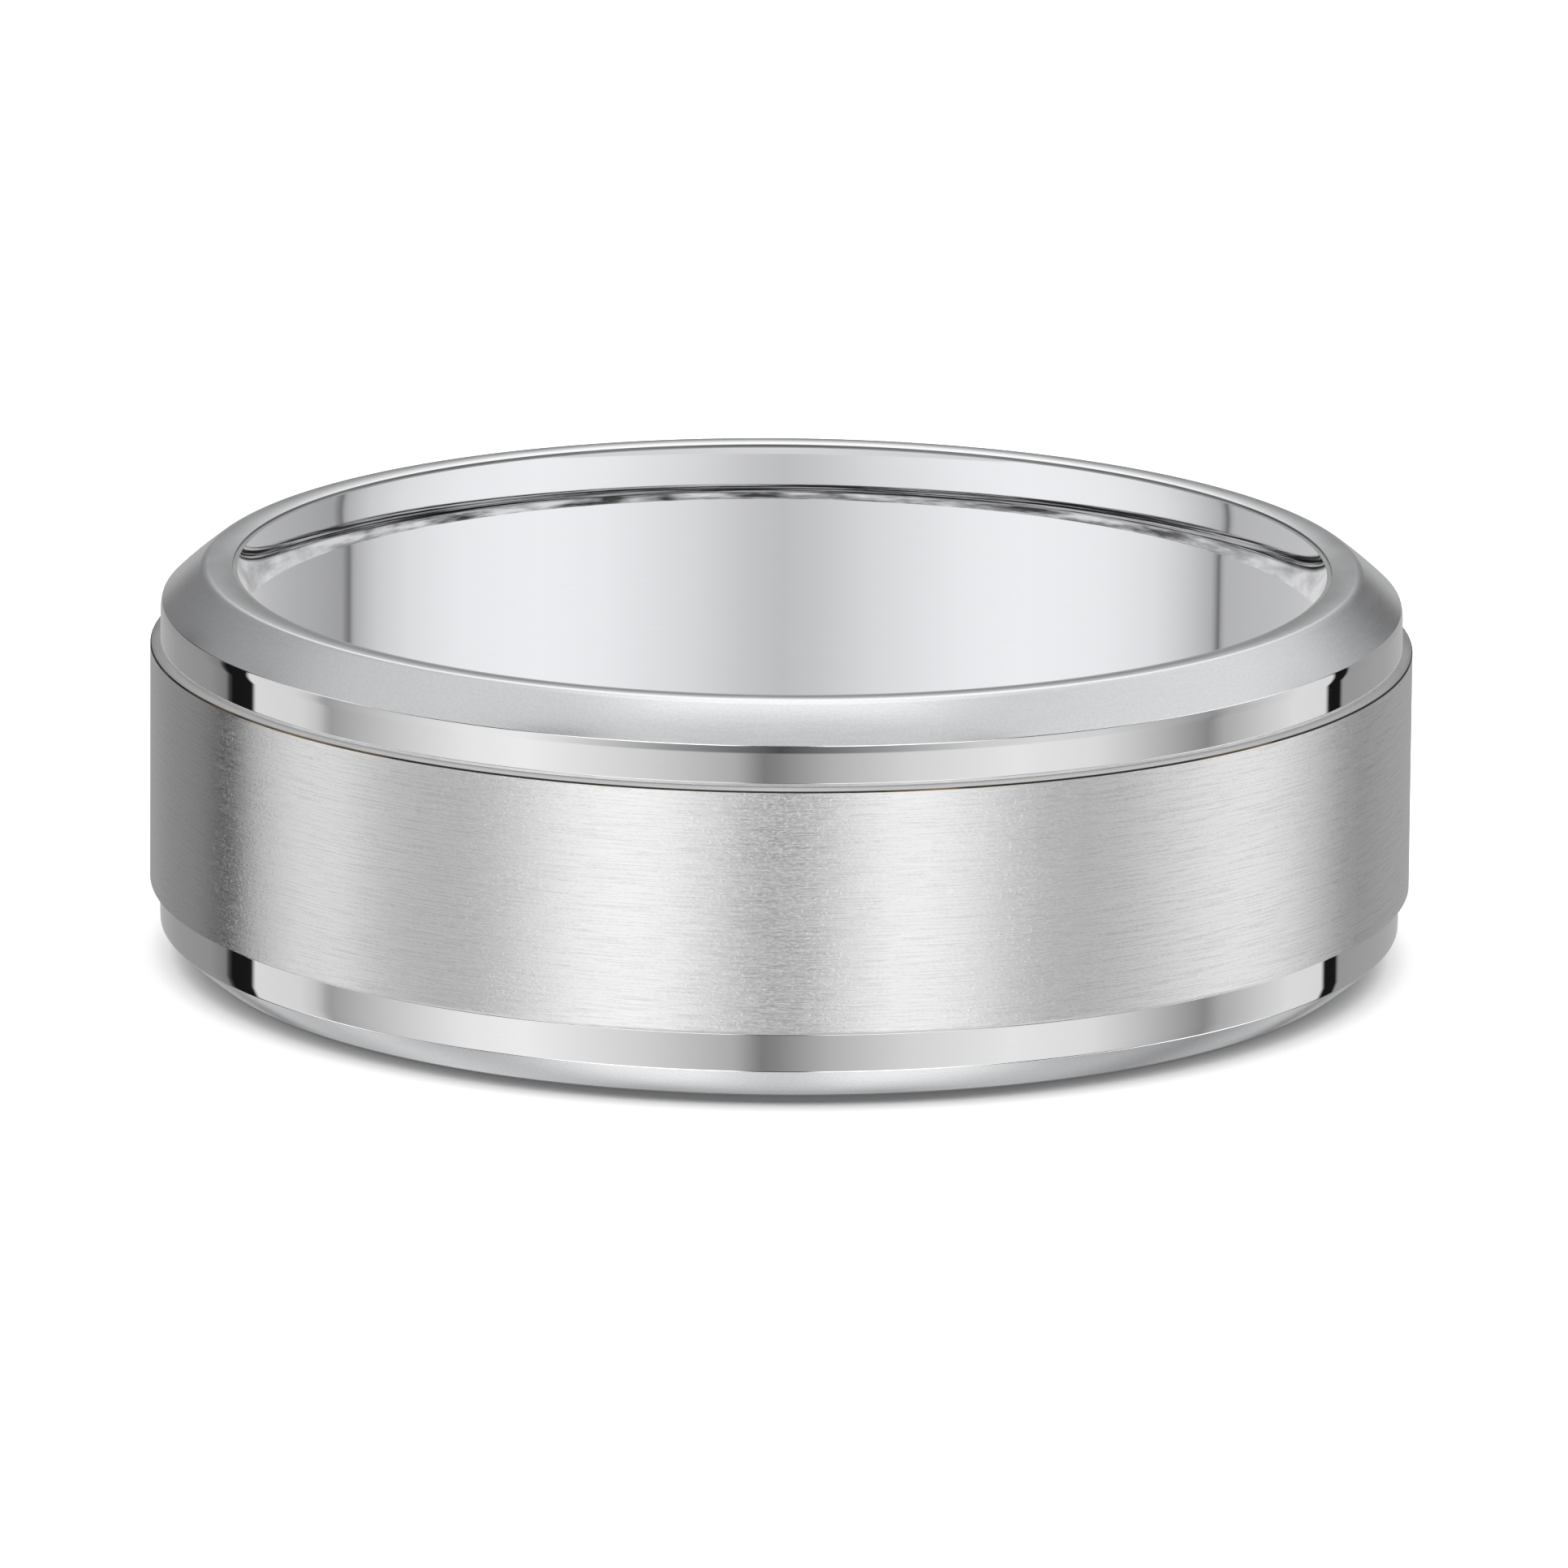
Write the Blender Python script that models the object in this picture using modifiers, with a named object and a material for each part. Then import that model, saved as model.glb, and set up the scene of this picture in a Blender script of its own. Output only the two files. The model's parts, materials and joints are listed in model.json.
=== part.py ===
"""Wedding band, built as a soldered stack of turned rings on a comfort-fit sleeve.

Units are metres and +Z is up. The band lies flat on its lower rim, with the finger bore's axis on Z
and the origin at the centre of the face it rests on.

An inner sleeve runs the full width and lines the finger bore. A satin center band and two polished
edge rings slide over it, and a thin ring of solder joins each edge ring to the center band.
"""

from math import acos, cos, pi, radians, sin

import bpy

# Driving dimensions
BAND_WIDTH = 0.00700
BAND_RADIUS = 0.01110
FINGER_RADIUS = 0.00938
STEP_RADIUS = 0.01092
BAND_HALF_HEIGHT = 0.00209
LEDGE_HALF_HEIGHT = 0.002165
STEP_HEIGHT = 0.00053
SOLDER_THICKNESS = 0.00003
JOINT_GAP = 0.00001

# Edges and rims
BAND_CHAMFER_DEPTH = 0.00002
BAND_CHAMFER_HEIGHT = 0.00003
EDGE_BREAK_DEPTH = 0.00003
EDGE_BREAK_HEIGHT = 0.00012
CREST_INNER_RADIUS = 0.00985
CREST_OUTER_RADIUS = 0.01007
CREST_ROUNDING = 0.00030
BEVEL_SLOPE = radians(40)
RIM_DROP = 0.00003
SLEEVE_OUTER_RADIUS = 0.00965
SLEEVE_SETBACK = 0.00007
LIP_RADIUS = 0.009575
MOUTH_ARC_RADIUS = 0.00230

# Facets
AROUND = 96
MOUTH_FACETS = 5
CREST_FACETS = 4
SHARP_ANGLE = radians(12)

# Worked out from the above
HALF_WIDTH = BAND_WIDTH / 2
BORED_RADIUS = SLEEVE_OUTER_RADIUS + JOINT_GAP
SOLDER_LOW = LEDGE_HALF_HEIGHT + JOINT_GAP
SOLDER_HIGH = SOLDER_LOW + SOLDER_THICKNESS
EDGE_RING_BASE = SOLDER_HIGH + JOINT_GAP
STEP_TOP = EDGE_RING_BASE + STEP_HEIGHT
MOUTH_SWEEP = acos(1 - (LIP_RADIUS - FINGER_RADIUS) / MOUTH_ARC_RADIUS)


def clear_scene():
    for obj in list(bpy.data.objects):
        bpy.data.objects.remove(obj, do_unlink=True)


def metal(name, color, roughness):
    material = bpy.data.materials.new(name)
    material.use_nodes = True
    shader = material.node_tree.nodes["Principled BSDF"]
    shader.inputs["Base Color"].default_value = (*color, 1.0)
    shader.inputs["Metallic"].default_value = 1.0
    shader.inputs["Roughness"].default_value = roughness
    material.diffuse_color = (*color, 1.0)
    return material


def turned_mesh(name, section):
    """A closed section of (radius, height) points, turned once around Z.

    The section lists its outer side from top to bottom and then its inner side from bottom to top.
    """
    points = [(radius, 0.0, height) for radius, height in section]
    loop = [(i, (i + 1) % len(points)) for i in range(len(points))]
    outline = bpy.data.meshes.new(name + "_section")
    outline.from_pydata(points, loop, [])
    blank = bpy.data.objects.new(name + "_blank", outline)
    bpy.context.scene.collection.objects.link(blank)
    screw = blank.modifiers.new("turn", "SCREW")
    screw.axis = "Z"
    screw.angle = 2 * pi
    screw.steps = AROUND
    screw.render_steps = AROUND
    screw.use_merge_vertices = True
    screw.merge_threshold = 1e-6
    graph = bpy.context.evaluated_depsgraph_get()
    mesh = bpy.data.meshes.new_from_object(blank.evaluated_get(graph))
    bpy.data.objects.remove(blank, do_unlink=True)
    bpy.data.meshes.remove(outline)
    mesh.name = name
    mesh.shade_smooth()
    mesh.set_sharp_from_angle(angle=SHARP_ANGLE)
    return mesh


def add_piece(name, mesh, material, collection, axis, turned_over=False):
    """One piece on the band's axis. Turned over, it is the mirror image below the middle plane."""
    obj = bpy.data.objects.new(name, mesh)
    obj.parent = axis
    obj.rotation_euler = (pi if turned_over else 0.0, 0.0, 0.0)
    obj.material_slots[0].link = "OBJECT"
    obj.material_slots[0].material = material
    collection.objects.link(obj)
    return obj


def sleeve_section():
    """The full-width lining: a straight seat outside, and a bore that rounds out into both mouths."""
    end = HALF_WIDTH - SLEEVE_SETBACK
    mouth = []
    for i in range(MOUTH_FACETS + 1):
        slope = MOUTH_SWEEP * i / MOUTH_FACETS
        radius = FINGER_RADIUS + MOUTH_ARC_RADIUS * (1 - cos(slope))
        height = end - MOUTH_ARC_RADIUS * (sin(MOUTH_SWEEP) - sin(slope))
        mouth.append((radius, height))
    seat = [(SLEEVE_OUTER_RADIUS, end), (SLEEVE_OUTER_RADIUS, -end)]
    return seat + [(radius, -height) for radius, height in reversed(mouth)] + mouth


def center_band_section():
    """The satin band: chamfered corners, a sloping ledge at each end and flat faces to solder to."""
    corner = BAND_HALF_HEIGHT + BAND_CHAMFER_HEIGHT
    upper = [
        (BORED_RADIUS, LEDGE_HALF_HEIGHT),
        (STEP_RADIUS, LEDGE_HALF_HEIGHT),
        (BAND_RADIUS - BAND_CHAMFER_DEPTH, corner),
        (BAND_RADIUS, BAND_HALF_HEIGHT),
    ]
    return upper + [(radius, -height) for radius, height in reversed(upper)]


def edge_ring_section():
    """The upper edge ring: a polished step, a broken edge, a bevel and a rounded rim, flat on its crest."""
    rounding = []
    for i in range(CREST_FACETS + 1):
        slope = BEVEL_SLOPE * i / CREST_FACETS
        radius = CREST_OUTER_RADIUS + CREST_ROUNDING * sin(slope)
        rounding.append((radius, HALF_WIDTH - CREST_ROUNDING * (1 - cos(slope))))
    return [
        (BORED_RADIUS, HALF_WIDTH - RIM_DROP),
        (CREST_INNER_RADIUS, HALF_WIDTH),
        *rounding,
        (STEP_RADIUS - EDGE_BREAK_DEPTH, STEP_TOP + EDGE_BREAK_HEIGHT),
        (STEP_RADIUS, STEP_TOP),
        (STEP_RADIUS, EDGE_RING_BASE),
        (BORED_RADIUS, EDGE_RING_BASE),
    ]


def solder_section():
    """The thin upper ring of solder, flush with the polished step."""
    return [
        (BORED_RADIUS, SOLDER_HIGH),
        (STEP_RADIUS, SOLDER_HIGH),
        (STEP_RADIUS, SOLDER_LOW),
        (BORED_RADIUS, SOLDER_LOW),
    ]


def build():
    clear_scene()
    collection = bpy.data.collections.new("wedding_band")
    bpy.context.scene.collection.children.link(collection)
    axis = bpy.data.objects.new("band_axis", None)
    axis.location = (0.0, 0.0, HALF_WIDTH)
    collection.objects.link(axis)

    satin = metal("satin_band", (0.74, 0.74, 0.75), 0.34)
    polished = metal("polished_lining", (0.80, 0.80, 0.81), 0.05)
    solder = metal("solder", (0.52, 0.46, 0.38), 0.40)

    sleeve = turned_mesh("inner_sleeve", sleeve_section())
    sleeve.materials.append(polished)
    add_piece("inner_sleeve", sleeve, polished, collection, axis)

    band = turned_mesh("center_band", center_band_section())
    band.materials.append(satin)
    add_piece("center_band", band, satin, collection, axis)

    edge_ring = turned_mesh("edge_ring", edge_ring_section())
    solder_ring = turned_mesh("solder_ring", solder_section())
    edge_ring.materials.append(polished)
    solder_ring.materials.append(solder)
    for place, turned_over in (("upper", False), ("lower", True)):
        edge_metal = metal(place + "_edge_polish", (0.76, 0.77, 0.79), 0.14)
        add_piece(place + "_edge_ring", edge_ring, edge_metal, collection, axis, turned_over)
        add_piece(place + "_solder_ring", solder_ring, solder, collection, axis, turned_over)


build()
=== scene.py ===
"""Looks for the wedding band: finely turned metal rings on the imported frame, under a soft studio sky."""

import json
from math import acos, asin, atan2, cos, pi, radians, sin, tan

import bpy
from mathutils import Euler, Matrix, Vector

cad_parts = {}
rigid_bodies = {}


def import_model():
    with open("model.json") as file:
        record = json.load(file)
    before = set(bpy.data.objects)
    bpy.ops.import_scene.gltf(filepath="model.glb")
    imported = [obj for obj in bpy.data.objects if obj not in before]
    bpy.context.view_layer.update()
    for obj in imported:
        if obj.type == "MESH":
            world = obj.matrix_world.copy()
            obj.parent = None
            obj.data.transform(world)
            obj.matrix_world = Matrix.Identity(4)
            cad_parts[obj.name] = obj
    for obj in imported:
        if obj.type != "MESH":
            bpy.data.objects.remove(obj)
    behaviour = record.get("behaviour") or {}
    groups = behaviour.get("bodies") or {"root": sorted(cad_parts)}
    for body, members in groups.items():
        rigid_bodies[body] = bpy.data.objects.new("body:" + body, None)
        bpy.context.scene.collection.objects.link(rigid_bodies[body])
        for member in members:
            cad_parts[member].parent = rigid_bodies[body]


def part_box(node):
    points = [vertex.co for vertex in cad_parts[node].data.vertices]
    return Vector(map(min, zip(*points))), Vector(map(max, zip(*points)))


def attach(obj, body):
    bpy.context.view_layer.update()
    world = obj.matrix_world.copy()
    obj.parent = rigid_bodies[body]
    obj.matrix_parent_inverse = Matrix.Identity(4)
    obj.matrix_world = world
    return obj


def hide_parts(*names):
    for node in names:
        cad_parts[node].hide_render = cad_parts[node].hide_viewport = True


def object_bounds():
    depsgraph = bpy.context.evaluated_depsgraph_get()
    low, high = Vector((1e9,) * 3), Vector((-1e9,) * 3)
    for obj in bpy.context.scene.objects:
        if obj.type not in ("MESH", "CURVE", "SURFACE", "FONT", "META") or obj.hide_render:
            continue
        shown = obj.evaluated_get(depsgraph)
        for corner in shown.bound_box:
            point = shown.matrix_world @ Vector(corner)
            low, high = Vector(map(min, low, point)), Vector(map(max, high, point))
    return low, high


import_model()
cad_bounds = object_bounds()

MM = 0.001

# Driving sizes, read from the frame. Half heights are measured from the band's middle plane.
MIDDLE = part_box("center_band")[0].z / 2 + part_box("center_band")[1].z / 2
HALF_WIDTH = cad_bounds[1].z - MIDDLE
BAND_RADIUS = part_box("center_band")[1].x
LEDGE_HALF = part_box("center_band")[1].z - MIDDLE
STEP_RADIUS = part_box("upper_edge_ring")[1].x
SEAT_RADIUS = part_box("inner_sleeve")[1].x
SLEEVE_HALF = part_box("inner_sleeve")[1].z - MIDDLE
SOLDER_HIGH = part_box("upper_solder_ring")[1].z - MIDDLE

# Sizes inside the turned sections, close to the CAD's and with finer roundings
JOINT_GAP = 0.01 * MM
BORED_RADIUS = SEAT_RADIUS + JOINT_GAP
BORE_RADIUS = 9.38 * MM
LIP_RADIUS = 9.575 * MM
MOUTH_ARC = 2.3 * MM
MOUTH_SWEEP = acos(1 - (LIP_RADIUS - BORE_RADIUS) / MOUTH_ARC)
BAND_HALF = 2.09 * MM
BAND_CHAMFER = 0.02 * MM
BAND_ROUNDING = 0.008 * MM
CHAMFER_TOP = 2.12 * MM
ROLL_START = 2.70 * MM
ROLL_TOP = 2.865 * MM
ROLL_DEPTH = 0.025 * MM
ROLL_TURN = radians(17.2)
LOWER_ROLL_DEPTH = 0.005 * MM
LOWER_ROLL_TURN = radians(3.5)
ROLL_ROUNDING = 0.03 * MM
STEP_FOOT_ROUNDING = 0.015 * MM
BEVEL_TURN = radians(6.6)
BEVEL_SLOPE = radians(39)
CROWN_RADIUS = 1.5 * MM
CREST_RADIUS = 9.95 * MM
CREST_OUTER = 10.07 * MM
CREST_ROUNDING = 0.30 * MM

# Facets. Sides that meet at more than SHARP keep a hard edge. Where they meet at less, LONG_SIDE_POWER
# sets how much more the shorter side's shading bends.
AROUND = 360
MOUTH_STEPS = 24
CORNER_STEPS = 8
RIM_STEPS = 10
CREST_STEPS = 10
BEVEL_STEPS = 8
ROLL_STEPS = 12
SHARP = radians(30)
LONG_SIDE_POWER = 6

# Light. Sky levels are divided by HEADROOM, since a ramp's colours stop at 1, and the world's strength
# brings them back. It is also divided by SILVER, the polish's own level, so that they show as written.
# FILL_LIGHT is the sky that lights the floor, and BACKDROP the white that the camera sees.
SILVER = 0.88
HEADROOM = 3.0
FILL_LIGHT = 0.22 / HEADROOM
BACKDROP = 1.1

# The studio, in metres and watts
FLOOR_REACH = 0.8
FLOOR_LEVEL = 0.92
LAMP_LENGTH = 1.0
LAMP_WIDTH = 0.34
LAMP_HEIGHT = 0.25
LAMP_POWER = 3.3

# The camera, aimed a little to the right of the band's middle and below it
CAMERA_ELEVATION = radians(13.81)
CAMERA_ROLL = radians(0.51)
CAMERA_DISTANCE = 30 * BAND_RADIUS
FRAME_WIDTH = 2.4897 * BAND_RADIUS
AIM_RIGHT = 0.006 * BAND_RADIUS
AIM_BELOW = 0.0426 * BAND_RADIUS
SENSOR = 36.0


def clear_cameras_and_lights():
    """Removes the ones that were there before this script."""
    for obj in list(bpy.data.objects):
        if obj.type in {"CAMERA", "LIGHT"}:
            bpy.data.objects.remove(obj, do_unlink=True)


# Sections: closed lists of (radius, height, finish), where finish belongs to the side after the point


def rounded(section, radii):
    """The section with an arc in place of each corner that radii gives a radius for, by its index."""
    count = len(section)
    smooth = []
    for i, (r, z, finish) in enumerate(section):
        if i not in radii:
            smooth.append((r, z, finish))
            continue
        here = Vector((r, z))
        before = (Vector(section[i - 1][:2]) - here).normalized()
        after = (Vector(section[(i + 1) % count][:2]) - here).normalized()
        half = before.angle(after) / 2
        centre = here + (before + after).normalized() * (radii[i] / sin(half))
        reach = radii[i] / tan(half)
        start = here + before * reach - centre
        end = here + after * reach - centre
        sweep = start.angle(end)
        for k in range(CORNER_STEPS + 1):
            t = k / CORNER_STEPS
            p = centre + (start * sin((1 - t) * sweep) + end * sin(t * sweep)) / sin(sweep)
            smooth.append((p.x, p.y, section[i - 1][2] if t < 0.5 else finish))
    return smooth


def mirrored(section):
    """The section turned over about the middle plane, still running down its outer side."""
    return [(section[i][0], -section[i][1], section[i - 1][2]) for i in reversed(range(len(section)))]


def side_normals(section):
    """Shading normals at both ends of each side. A long side stays flat and bends its short neighbours."""
    count = len(section)
    points = [Vector(point[:2]) for point in section]
    sides = [points[(i + 1) % count] - points[i] for i in range(count)]
    own = [Vector((-side.y, side.x)).normalized() for side in sides]
    corners = []
    for i in range(count):
        share = sides[i].length / (sides[i].length + sides[i - 1].length)
        ahead = own[i] * share ** LONG_SIDE_POWER
        behind = own[i - 1] * (1 - share) ** LONG_SIDE_POWER
        corners.append((behind + ahead).normalized() if own[i - 1].angle(own[i]) < SHARP else None)
    return [(corners[i] or own[i], corners[(i + 1) % count] or own[i]) for i in range(count)]


def turned(name, section, materials):
    """A ring turned from a closed section. Each side takes the material that its finish names."""
    names = list(materials)
    count = len(section)
    bends = side_normals(section)
    points = []
    faces = []
    index = []
    normals = []
    for k in range(AROUND):
        here = 2 * pi * k / AROUND
        ahead = here + 2 * pi / AROUND
        points += [(r * cos(here), r * sin(here), MIDDLE + z) for r, z, _ in section]
        this = k * count
        following = ((k + 1) % AROUND) * count
        for i in range(count):
            j = (i + 1) % count
            faces.append((this + i, this + j, following + j, following + i))
            index.append(names.index(section[i][2]))
            start, end = bends[i]
            for angle, bend in ((here, start), (here, end), (ahead, end), (ahead, start)):
                normals.append((bend.x * cos(angle), bend.x * sin(angle), bend.y))
    mesh = bpy.data.meshes.new(name)
    mesh.from_pydata(points, [], faces)
    mesh.polygons.foreach_set("material_index", index)
    for finish in materials.values():
        mesh.materials.append(finish)
    mesh.shade_smooth()
    mesh.normals_split_custom_set(normals)
    obj = bpy.data.objects.new(name, mesh)
    bpy.context.scene.collection.objects.link(obj)
    return obj


def sleeve_section():
    """A straight bore that rounds out into both mouths, where it ends at the lips."""
    flare = []
    for i in range(MOUTH_STEPS + 1):
        slope = MOUTH_SWEEP * i / MOUTH_STEPS
        radius = BORE_RADIUS + MOUTH_ARC * (1 - cos(slope))
        flare.append((radius, SLEEVE_HALF - MOUTH_ARC * (sin(MOUTH_SWEEP) - sin(slope))))
    lower = [(r, -z, "bore") for r, z in reversed(flare)]
    upper = [(r, z, "bore") for r, z in flare]
    upper[-1] = (LIP_RADIUS, SLEEVE_HALF, "lip")
    outside = [(SEAT_RADIUS, SLEEVE_HALF, "seat"), (SEAT_RADIUS, -SLEEVE_HALF, "lip")]
    return outside + lower + upper


def band_section():
    """The center band: a ledge at each end, and a satin side with a painted dark shade line round its top.
    """
    line_corner = 2
    upper = [
        (BORED_RADIUS, LEDGE_HALF, "ledge"),
        (STEP_RADIUS, LEDGE_HALF, "ledge"),
        # This chamfer takes the line of painted shade
        (BAND_RADIUS - BAND_CHAMFER, CHAMFER_TOP, "line"),
        (BAND_RADIUS, BAND_HALF, "satin"),
    ]
    lower = [
        (BAND_RADIUS, -CHAMFER_TOP, "ledge"),
        (STEP_RADIUS, -LEDGE_HALF, "ledge"),
        (BORED_RADIUS, -LEDGE_HALF, "seat"),
    ]
    return rounded(upper + lower, {line_corner: BAND_ROUNDING})


def arc(centre, radius, start, end, steps, finish):
    """Points of an arc between two slopes, 0 being level and positive slopes falling outwards."""
    slopes = [start + (end - start) * i / steps for i in range(steps + 1)]
    return [(centre[0] + radius * sin(slope), centre[1] + radius * cos(slope), finish) for slope in slopes]


def bowed(start, end, turn, steps, finish):
    """Points from start to end on a slight outward arc that turns by this angle."""
    chord = Vector(end) - Vector(start)
    slope = atan2(-chord.y, chord.x)
    radius = chord.length / 2 / sin(turn / 2)
    first = slope - turn / 2
    centre = (start[0] - radius * sin(first), start[1] - radius * cos(first))
    return arc(centre, radius, first, slope + turn / 2, steps, finish)


def edge_section(roll_depth, roll_turn):
    """An edge ring: crowned rim, rounded crest, slightly bowed bevel, and a step that rolls over into it."""
    low = asin((BORED_RADIUS - CREST_RADIUS) / CROWN_RADIUS)
    high = asin((CREST_OUTER - CREST_RADIUS) / CROWN_RADIUS)
    rim = arc((CREST_RADIUS, HALF_WIDTH - CROWN_RADIUS), CROWN_RADIUS, low, high, RIM_STEPS, "rim")
    r, z, _ = rim.pop()
    centre = (r - CREST_ROUNDING * sin(high), z - CREST_ROUNDING * cos(high))
    crest = arc(centre, CREST_ROUNDING, high, BEVEL_SLOPE, CREST_STEPS, "bevel")
    corner = (STEP_RADIUS - roll_depth, ROLL_TOP)
    bevel = bowed(crest.pop()[:2], corner, BEVEL_TURN, BEVEL_STEPS, "bevel")
    bevel.pop()
    roll = bowed(corner, (STEP_RADIUS, ROLL_START), roll_turn, ROLL_STEPS, "step")
    back = [(STEP_RADIUS, SOLDER_HIGH, "seat"), (BORED_RADIUS, SOLDER_HIGH, "seat")]
    roll_index = len(rim) + len(crest) + len(bevel)
    foot_index = roll_index + len(roll)
    roundings = {roll_index: ROLL_ROUNDING, foot_index: STEP_FOOT_ROUNDING}
    return rounded(rim + crest + bevel + roll + back, roundings)


def solder_section():
    """The upper solder ring, which reaches down to the ledge and closes the CAD's gap."""
    return [
        (BORED_RADIUS, SOLDER_HIGH, "solder"),
        (STEP_RADIUS, SOLDER_HIGH, "solder"),
        (STEP_RADIUS, LEDGE_HALF, "solder"),
        (BORED_RADIUS, LEDGE_HALF, "solder"),
    ]


# Materials


class Nodes:
    """A small helper for writing node trees in code."""

    def __init__(self, tree):
        self.tree = tree

    def add(self, kind, inputs=(), **settings):
        node = self.tree.nodes.new(kind)
        for key, value in settings.items():
            setattr(node, key, value)
        for key, value in dict(inputs).items():
            self.set(node.inputs[key], value)
        return node

    def set(self, socket, value):
        if isinstance(value, bpy.types.NodeSocket):
            self.tree.links.new(value, socket)
        else:
            socket.default_value = value

    def math(self, operation, *values):
        return self.add("ShaderNodeMath", dict(enumerate(values)), operation=operation).outputs[0]

    def ramp(self, factor, stops):
        """A colour ramp through pairs of a place and a grey level or colour. It holds 32 stops at most."""
        node = self.add("ShaderNodeValToRGB", {0: factor})
        ramp = node.color_ramp
        while len(ramp.elements) < len(stops):
            ramp.elements.new(1.0)
        for element, (place, level) in zip(ramp.elements, stops):
            element.position = place
            element.color = self.color(level)
        return node.outputs[0]

    def span(self, value, low, high, to_low=0.0, to_high=1.0):
        """A smooth step from to_low, where value is low, to to_high, where it is high."""
        inputs = {"Value": value, "From Min": low, "From Max": high, "To Min": to_low, "To Max": to_high}
        return self.add("ShaderNodeMapRange", inputs, interpolation_type="SMOOTHSTEP").outputs[0]

    def fall(self, value, low, high):
        return self.span(value, low, high, 1.0, 0.0)

    def mix(self, factor, a, b):
        """Colour a where factor is 0, and colour b where it is 1."""
        factor_socket, a_socket, b_socket, color_result = 0, 6, 7, 2
        node = self.add("ShaderNodeMix", data_type="RGBA")
        self.set(node.inputs[factor_socket], factor)
        self.set(node.inputs[a_socket], self.color(a))
        self.set(node.inputs[b_socket], self.color(b))
        return node.outputs[color_result]

    def color(self, value):
        """The value as it is if it is a socket, and otherwise a grey level or colour as RGBA."""
        if isinstance(value, bpy.types.NodeSocket):
            return value
        return (*value, 1.0) if isinstance(value, tuple) else (value, value, value, 1.0)


def material(name):
    made = bpy.data.materials.new(name)
    made.use_nodes = True
    made.node_tree.nodes.clear()
    nodes = Nodes(made.node_tree)
    output = nodes.add("ShaderNodeOutputMaterial")
    shader = nodes.add("ShaderNodeBsdfPrincipled", {"Metallic": 1.0})
    nodes.set(output.inputs["Surface"], shader.outputs[0])
    return made, nodes, shader


def noise(nodes, place, scale, detail, shift=(0.0, 0.0, 0.0)):
    """Solid noise, scaled along each axis and then shifted, so that a shift gives another draw."""
    scaled = nodes.add("ShaderNodeVectorMath", {0: place, 1: scale}, operation="MULTIPLY")
    shifted = nodes.add("ShaderNodeVectorMath", {0: scaled.outputs[0], 1: shift}, operation="ADD")
    inputs = {"Vector": shifted.outputs[0], "Scale": 1.0, "Detail": detail, "Roughness": 0.6}
    return nodes.add("ShaderNodeTexNoise", inputs).outputs["Fac"]


def grain(nodes, along, across, detail=3.0, seed=0.0):
    """Noise drawn out round the ring: grains of these lengths along and across the turning direction."""
    place = nodes.add("ShaderNodeTexCoord").outputs["Object"]
    scale = (1 / along, 1 / along, 1 / across)
    return noise(nodes, place, scale, detail, (seed, seed * 1.7, seed * 2.3))


def bump(nodes, shader, height, strength, distance):
    node = nodes.add("ShaderNodeBump", {"Strength": strength, "Distance": distance, "Height": height})
    nodes.set(shader.inputs["Normal"], node.outputs[0])


def darker(color, share):
    return tuple(share * channel for channel in color)


def mirror_metal(name, color, roughness):
    """A mirror polish with very faint lines round the ring."""
    made, nodes, shader = material(name)
    shader.inputs["Roughness"].default_value = roughness
    fine = grain(nodes, along=0.8 * MM, across=0.05 * MM)
    nodes.set(shader.inputs["Base Color"], nodes.mix(fine, darker(color, 0.97), color))
    bump(nodes, shader, fine, strength=0.05, distance=0.001 * MM)
    return made


def satin_metal():
    """Brushed round the ring, so that it blurs reflections upwards and downwards more than sideways."""
    made, nodes, shader = material("satin_metal")
    shader.inputs["Anisotropic"].default_value = 1.0
    shader.inputs["Anisotropic Rotation"].default_value = 0.25
    tangent = nodes.add("ShaderNodeTangent", direction_type="RADIAL", axis="Z")
    nodes.set(shader.inputs["Tangent"], tangent.outputs[0])
    strokes = grain(nodes, along=1.0 * MM, across=0.016 * MM)
    flecks = grain(nodes, along=0.07 * MM, across=0.035 * MM, detail=2.0, seed=5.0)
    both = nodes.math("MULTIPLY_ADD", flecks, 0.35, strokes)
    light = nodes.span(both, 0.46, 0.78)
    nodes.set(shader.inputs["Base Color"], nodes.mix(light, 0.76, 1.0))
    nodes.set(shader.inputs["Roughness"], nodes.span(strokes, 0.3, 0.7, to_low=0.30, to_high=0.42))
    height = nodes.math("MULTIPLY_ADD", nodes.span(flecks, 0.50, 0.74), 0.4, strokes)
    bump(nodes, shader, height, strength=0.8, distance=0.006 * MM)
    return made


def matte_metal(name, color, roughness):
    """A softly polished metal with a faint grain round the ring and fine pits."""
    made, nodes, shader = material(name)
    fine = grain(nodes, along=0.9 * MM, across=0.04 * MM)
    pits = grain(nodes, along=0.05 * MM, across=0.05 * MM, detail=2.0, seed=3.0)
    both = nodes.math("MULTIPLY_ADD", fine, 0.35, pits)
    light = nodes.span(both, 0.45, 0.9)
    nodes.set(shader.inputs["Base Color"], nodes.mix(light, darker(color, 0.94), color))
    nodes.set(shader.inputs["Roughness"], nodes.span(fine, 0.3, 0.7, roughness, roughness * 1.25))
    bump(nodes, shader, both, strength=0.15, distance=0.003 * MM)
    return made


def corner_shade_line():
    """The dark line at the satin band's upper corner: painted shade, lighter and brown in places."""
    made, nodes, shader = material("corner_shade_line")
    wide = grain(nodes, along=3.0 * MM, across=1.0 * MM, detail=2.0, seed=9.0)
    # Painted shade along the corner: near black, turning lighter and brown where the noise is high
    black = (0.03, 0.027, 0.023)
    dark_brown = (0.06, 0.045, 0.03)
    brown = (0.30, 0.22, 0.14)
    stops = [(0.0, black), (0.5, dark_brown), (0.6, brown)]
    nodes.set(shader.inputs["Base Color"], nodes.ramp(wide, stops))
    shader.inputs["Roughness"].default_value = 0.5
    return made


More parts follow.
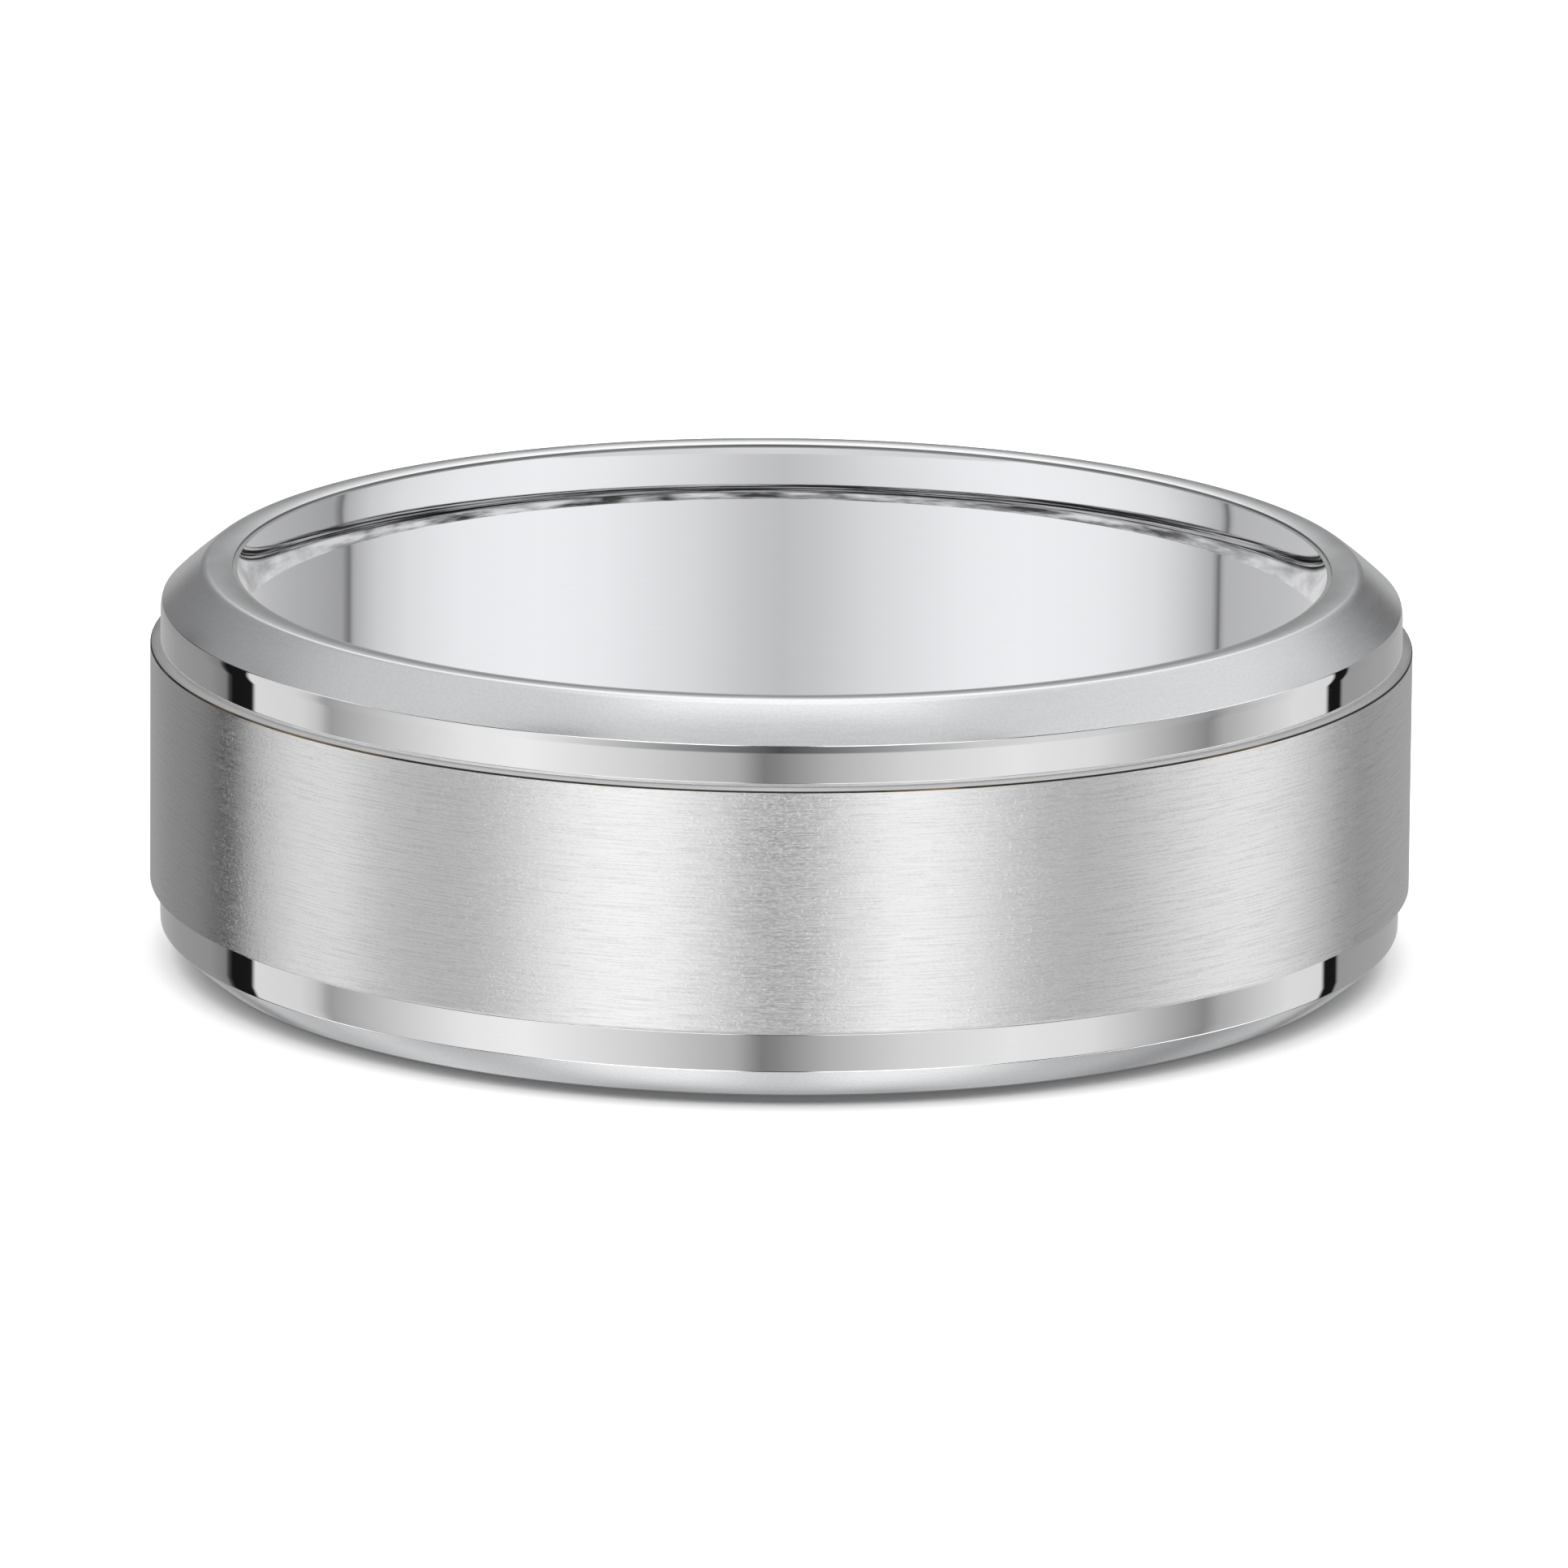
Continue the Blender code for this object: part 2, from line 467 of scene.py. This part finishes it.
def plain_metal(name, level):
    """A dull, slightly uneven grey metal."""
    made, nodes, shader = material(name)
    fine = grain(nodes, along=0.3 * MM, across=0.1 * MM)
    nodes.set(shader.inputs["Base Color"], nodes.mix(fine, level * 0.8, level * 1.2))
    shader.inputs["Roughness"].default_value = 0.4
    return made


def build_ring():
    """The six pieces, hidden from reflections so that they show only the sky."""
    polish = mirror_metal("polished_metal", (SILVER, SILVER, SILVER + 0.005), roughness=0.03)
    bore = mirror_metal("bore_polish", (0.875, 0.88, 0.905), roughness=0.0)
    satin = satin_metal()
    bevel = matte_metal("bevel_polish", (0.87, 0.88, 0.90), roughness=0.16)
    ledge = matte_metal("ledge_finish", (0.50, 0.50, 0.51), roughness=0.25)
    rim = matte_metal("rim_finish", (0.87, 0.88, 0.895), roughness=0.13)
    # Painted shade for the band's upper corner
    line = corner_shade_line()
    hidden = plain_metal("joint_face", 0.25)
    solder = plain_metal("solder_metal", 0.88)

    sleeve = turned("comfort_sleeve", sleeve_section(), {"bore": bore, "lip": rim, "seat": hidden})
    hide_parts("inner_sleeve")

    finishes = {"satin": satin, "ledge": ledge, "line": line, "seat": hidden}
    band = turned("satin_band", band_section(), finishes)
    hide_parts("center_band")

    made = [sleeve, band]
    edge_finishes = {"step": polish, "bevel": bevel, "rim": rim, "seat": hidden}
    upper = ("upper", edge_section(ROLL_DEPTH, ROLL_TURN), solder_section())
    lower = ("lower", mirrored(edge_section(LOWER_ROLL_DEPTH, LOWER_ROLL_TURN)), mirrored(solder_section()))
    for place, edge_part, solder_part in (upper, lower):
        edge = turned(place + "_polished_edge", edge_part, edge_finishes)
        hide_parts(place + "_edge_ring")
        joint = turned(place + "_solder", solder_part, {"solder": solder})
        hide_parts(place + "_solder_ring")
        made += [edge, joint]
    for piece in made:
        piece.visible_glossy = False
        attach(piece, "root")


# The sky, written in directions: azimuths from -180 to 180 degrees with 0 at the front, -Y, and
# elevations from -90 to 90 degrees


class Direction:
    """Where a ray points, as sockets. Azimuth and height run from 0 to 1, side and elevation in degrees."""

    def __init__(self, nodes):
        self.vector = nodes.add("ShaderNodeTexCoord").outputs["Generated"]
        self.x, self.y, z = nodes.add("ShaderNodeSeparateXYZ", {"Vector": self.vector}).outputs
        turn = nodes.math("ARCTAN2", self.x, nodes.math("MULTIPLY", self.y, -1.0))
        self.azimuth = nodes.math("MULTIPLY_ADD", turn, 1 / (2 * pi), 0.5)
        self.side = nodes.math("MULTIPLY", nodes.math("ABSOLUTE", turn), 180 / pi)
        self.elevation = nodes.math("MULTIPLY", nodes.math("ARCSINE", z), 180 / pi)
        self.height = nodes.math("MULTIPLY_ADD", self.elevation, 1 / 180, 0.5)
        self.off_middle = nodes.math("ABSOLUTE", self.x)
        self.right = nodes.span(self.azimuth, 0.45, 0.55)


def display(level):
    """Scene light for a display level, so that the sky is written as it looks."""
    return ((level + 0.055) / 1.055) ** 2.4 / HEADROOM


def level_ramp(nodes, factor, levels, low=0.0, high=1.0):
    """A ramp through pairs of a place, between low and high, and a display level."""
    return nodes.ramp(factor, [((place - low) / (high - low), display(level)) for place, level in levels])


def azimuth_ramp(nodes, at, levels):
    return level_ramp(nodes, at.azimuth, levels, -180, 180)


def height_ramp(nodes, at, levels):
    return level_ramp(nodes, at.height, levels, -90, 90)


def mirror_sky(nodes, at):
    """What a perfect mirror shows, here the bore: a plain table and tent with a dark horizon between."""
    tent = azimuth_ramp(nodes, at, [
        (-180, 0.78), (-122, 0.72), (-113, 0.70), (-111, 0.42), (-109, 0.68), (-100, 0.79), (-90, 0.87),
        (-75, 0.92), (-55, 0.94), (-40, 0.92), (-20, 0.85), (-8, 0.78), (0, 0.75), (8, 0.78), (20, 0.85),
        (40, 0.92), (55, 0.94), (75, 0.92), (90, 0.87), (100, 0.80), (108, 0.68), (110, 0.40), (112, 0.62),
        (122, 0.66), (180, 0.78),
    ])
    tent = nodes.mix(nodes.span(at.elevation, 28.5, 29.5), tent, display(0.83))
    streaks = noise(nodes, at.vector, (1.4, 1.4, 55.0), 3.0)
    blots = noise(nodes, at.vector, (4.0, 4.0, 9.0), 3.0)
    streak_light = level_ramp(nodes, streaks, [(0.36, 0.05), (0.48, 0.22), (0.62, 0.70)])
    blot_light = level_ramp(nodes, blots, [(0.36, 0.25), (0.45, 0.52), (0.55, 0.72), (0.64, 0.85)])
    blot_light = nodes.mix(nodes.span(at.side, 80.0, 130.0, 0.0, 0.6), blot_light, display(0.80))
    horizon = nodes.mix(nodes.span(at.elevation, -6.5, -5.0), blot_light, streak_light)
    above_table = nodes.span(at.elevation, -12.2, -11.8)
    top = nodes.math("SUBTRACT", at.elevation, nodes.span(at.side, 80.0, 150.0, 0.0, -3.5))
    below_tent = nodes.fall(top, 1.2, 2.4)
    return nodes.mix(nodes.math("MULTIPLY", above_table, below_tent), tent, horizon)


LEFT_PANELS = [
    (-180, 0.70), (-150, 0.58), (-132, 0.55), (-124.2, 0.47), (-123.6, 0.08), (-115, 0.09), (-114.5, 0.85),
    (-100, 0.83), (-95, 0.76), (-92, 0.60), (-80, 0.74), (-60, 0.90),
]
RIGHT_PANELS = [
    (90, 0.66), (100, 0.78), (110, 0.86), (121.3, 0.84), (122, 0.08), (126.6, 0.09), (127.1, 0.58),
]


def level_sky(nodes, at):
    """A narrow belt of sky at the height that the upright polished steps reflect."""
    return azimuth_ramp(nodes, at, [
        *LEFT_PANELS, (-48, 0.93), (-24, 0.81), (-8, 0.67), (-3, 0.48), (0, 0.52), (10, 0.70), (24, 0.83),
        (44, 0.90), (60, 0.86), (76, 0.68), (86, 0.53), *RIGHT_PANELS, (150, 0.62), (180, 0.70),
    ])


def camera_patch(nodes, at):
    """The same panels a little higher, with a soft dark patch at the front for the photographer's camera."""
    return azimuth_ramp(nodes, at, [
        *LEFT_PANELS, (-48, 0.92), (-36, 0.80), (-20, 0.58), (-10, 0.46), (0, 0.30), (10, 0.46), (20, 0.60),
        (36, 0.80), (48, 0.84), (60, 0.82), (76, 0.68), (86, 0.56), *RIGHT_PANELS, (180, 0.70),
    ])


def wide_sky(nodes, at):
    """The broad panels and gaps of the tent, as the satin band blurs them."""
    return azimuth_ramp(nodes, at, [
        (-134, 0.0), (-127, 0.0), (-118, 0.20), (-110, 1.0), (-101, 1.34), (-93, 1.25), (-86, 0.30),
        (-81, 0.0), (-62, 0.0), (-57, 0.15), (-50, 0.95), (-44, 1.20), (-34, 1.20), (-27, 1.20), (-18, 1.22),
        (-10, 1.22), (-6, 0.0), (6, 0.0), (10, 1.22), (18, 1.22), (27, 1.22), (36, 1.22), (43, 1.05),
        (49, 0.40), (54, 0.0), (71, 0.0), (77, 0.20), (85, 1.05), (92, 1.30), (109, 1.38), (120, 0.60),
        (128, 0.0),
    ])


def behind_sky(nodes, at):
    """The tent above and behind the ring, as the rims and bevels reflect it."""
    left = height_ramp(nodes, at, [(0, 0.44), (14, 0.49), (24, 0.56), (34, 0.64), (44, 0.76), (58, 0.81)])
    right = height_ramp(nodes, at, [(0, 0.42), (12, 0.44), (22, 0.62), (30, 0.80), (40, 0.86), (58, 0.84)])
    facing = height_ramp(nodes, at, [(-14, 0.47), (0, 0.49), (13, 0.56), (20, 0.76), (27, 1.00), (62, 1.00)])
    front_to_back = nodes.math("MULTIPLY_ADD", at.y, 0.5, 0.5)
    strip = level_ramp(nodes, front_to_back, [
        (0.37, 0.72), (0.45, 0.775), (0.47, 0.80), (0.49, 0.88), (0.51, 0.97), (0.53, 1.0),
    ])
    over = nodes.mix(nodes.span(at.off_middle, 0.13, 0.34), strip, display(0.81))
    low = nodes.mix(nodes.span(at.side, 162.0, 173.0), nodes.mix(at.right, left, right), facing)
    return nodes.mix(nodes.span(at.elevation, 54.0, 70.0), low, over)


def table_sky(nodes, at):
    """The table, as the lower bevel reflects it, with the shade under the ring straight behind."""
    below = [(-90, 0.62), (-80, 0.76), (-72, 0.99), (-64, 0.95)]
    left = height_ramp(nodes, at, [
        *below, (-56, 0.72), (-50, 0.76), (-44, 0.84), (-38, 0.68), (-28, 0.82), (-22, 0.62),
    ])
    right = height_ramp(nodes, at, [
        *below, (-56, 0.73), (-50, 0.72), (-43, 0.52), (-38, 0.66), (-28, 0.83), (-22, 0.62),
    ])
    table = nodes.mix(at.right, left, right)
    table = nodes.mix(nodes.span(at.off_middle, 0.0, 0.09), display(0.77), table)
    shade = nodes.math("MULTIPLY", nodes.span(at.side, 165.0, 172.0), nodes.span(at.elevation, -63.0, -55.0))
    return nodes.mix(shade, table, display(0.42))


def studio_sky(nodes, at):
    """The tent as every surface but a perfect mirror reflects it, built up in layers."""
    above_low = nodes.span(at.elevation, -25.0, -23.5)
    belt = nodes.math("MULTIPLY", above_low, nodes.fall(at.elevation, 21.0, 24.0))
    panels = nodes.mix(nodes.span(at.elevation, -8.0, -2.0), level_sky(nodes, at), camera_patch(nodes, at))
    light = nodes.mix(belt, wide_sky(nodes, at), panels)

    from_left = nodes.span(at.azimuth, 0.061, 0.095)
    left_gap = nodes.math("MULTIPLY", from_left, nodes.fall(at.azimuth, 0.122, 0.156))
    left_gap = nodes.math("MULTIPLY", left_gap, nodes.span(at.elevation, 0.0, 5.0))
    light = nodes.mix(left_gap, light, display(0.04))

    above = nodes.math("SUBTRACT", at.elevation, nodes.span(at.side, 82.0, 100.0, 62.0, 25.0))
    rise = nodes.math("SUBTRACT", at.elevation, nodes.span(at.side, 146.0, 158.0, 14.0, -2.0))
    behind = nodes.math("MULTIPLY", nodes.span(at.side, 124.0, 134.0), nodes.span(rise, 0.0, 8.0))
    high = nodes.math("MAXIMUM", nodes.span(above, 0.0, 11.0), behind)
    light = nodes.mix(high, light, behind_sky(nodes, at))

    low = nodes.math("MULTIPLY", nodes.span(at.side, 144.0, 152.0), nodes.fall(at.elevation, -30.0, -22.0))
    deep = nodes.math("MAXIMUM", low, nodes.fall(at.elevation, -70.0, -60.0))
    return nodes.mix(deep, light, table_sky(nodes, at))


def sky():
    """White for the camera, one sky for perfect mirrors, one for other metal and a fill for the floor."""
    world = bpy.data.worlds.new("studio")
    bpy.context.scene.world = world
    world.use_nodes = True
    world.node_tree.nodes.clear()
    nodes = Nodes(world.node_tree)
    at = Direction(nodes)
    rays = nodes.add("ShaderNodeLightPath").outputs
    light = nodes.mix(rays["Is Singular Ray"], studio_sky(nodes, at), mirror_sky(nodes, at))
    lights_floor = nodes.math("MINIMUM", rays["Diffuse Depth"], 1.0)
    light = nodes.mix(lights_floor, light, FILL_LIGHT)
    studio = nodes.add("ShaderNodeBackground", {"Color": light, "Strength": HEADROOM / SILVER})
    plain = nodes.add("ShaderNodeBackground", {"Color": (1.0, 1.0, 1.0, 1.0), "Strength": BACKDROP})
    shaders = {0: rays["Is Camera Ray"], 1: studio.outputs[0], 2: plain.outputs[0]}
    both = nodes.add("ShaderNodeMixShader", shaders)
    nodes.add("ShaderNodeOutputWorld", {"Surface": both.outputs[0]})


# The rest of the studio


def floor():
    """A pale matte floor under the ring, which the metal does not reflect."""
    made, _, shader = material("studio_floor")
    shader.inputs["Metallic"].default_value = 0.0
    shader.inputs["Roughness"].default_value = 1.0
    shader.inputs["Specular IOR Level"].default_value = 0.0
    shader.inputs["Base Color"].default_value = (FLOOR_LEVEL, FLOOR_LEVEL, FLOOR_LEVEL, 1.0)
    mesh = bpy.data.meshes.new("floor")
    corners = [(FLOOR_REACH * x, FLOOR_REACH * y, 0.0) for x, y in ((-1, -1), (1, -1), (1, 1), (-1, 1))]
    mesh.from_pydata(corners, [], [(0, 1, 2, 3)])
    mesh.materials.append(made)
    obj = bpy.data.objects.new("floor", mesh)
    bpy.context.scene.collection.objects.link(obj)
    obj.visible_glossy = False


def overhead_light():
    """Lights the floor, where it makes the contact shadow. The metal does not reflect it."""
    lamp = bpy.data.lights.new("overhead", "AREA")
    lamp.shape = "RECTANGLE"
    lamp.size = LAMP_LENGTH
    lamp.size_y = LAMP_WIDTH
    lamp.energy = LAMP_POWER
    obj = bpy.data.objects.new("overhead", lamp)
    obj.location = (0.0, 0.0, LAMP_HEIGHT)
    obj.visible_glossy = False
    bpy.context.scene.collection.objects.link(obj)


def camera():
    data = bpy.data.cameras.new("camera")
    data.sensor_width = SENSOR
    data.lens = SENSOR * CAMERA_DISTANCE / FRAME_WIDTH
    data.clip_start = 0.01
    obj = bpy.data.objects.new("camera", data)
    target = Vector((AIM_RIGHT, 0.0, MIDDLE - AIM_BELOW))
    back = Vector((0.0, -cos(CAMERA_ELEVATION), sin(CAMERA_ELEVATION)))
    tilt = Euler((pi / 2 - CAMERA_ELEVATION, 0.0, 0.0)).to_matrix() @ Matrix.Rotation(CAMERA_ROLL, 3, "Z")
    obj.matrix_world = Matrix.Translation(target + back * CAMERA_DISTANCE) @ tilt.to_4x4()
    bpy.context.scene.collection.objects.link(obj)
    bpy.context.scene.camera = obj


clear_cameras_and_lights()
build_ring()
sky()
floor()
overhead_light()
camera()
bpy.context.scene.view_settings.view_transform = "Standard"
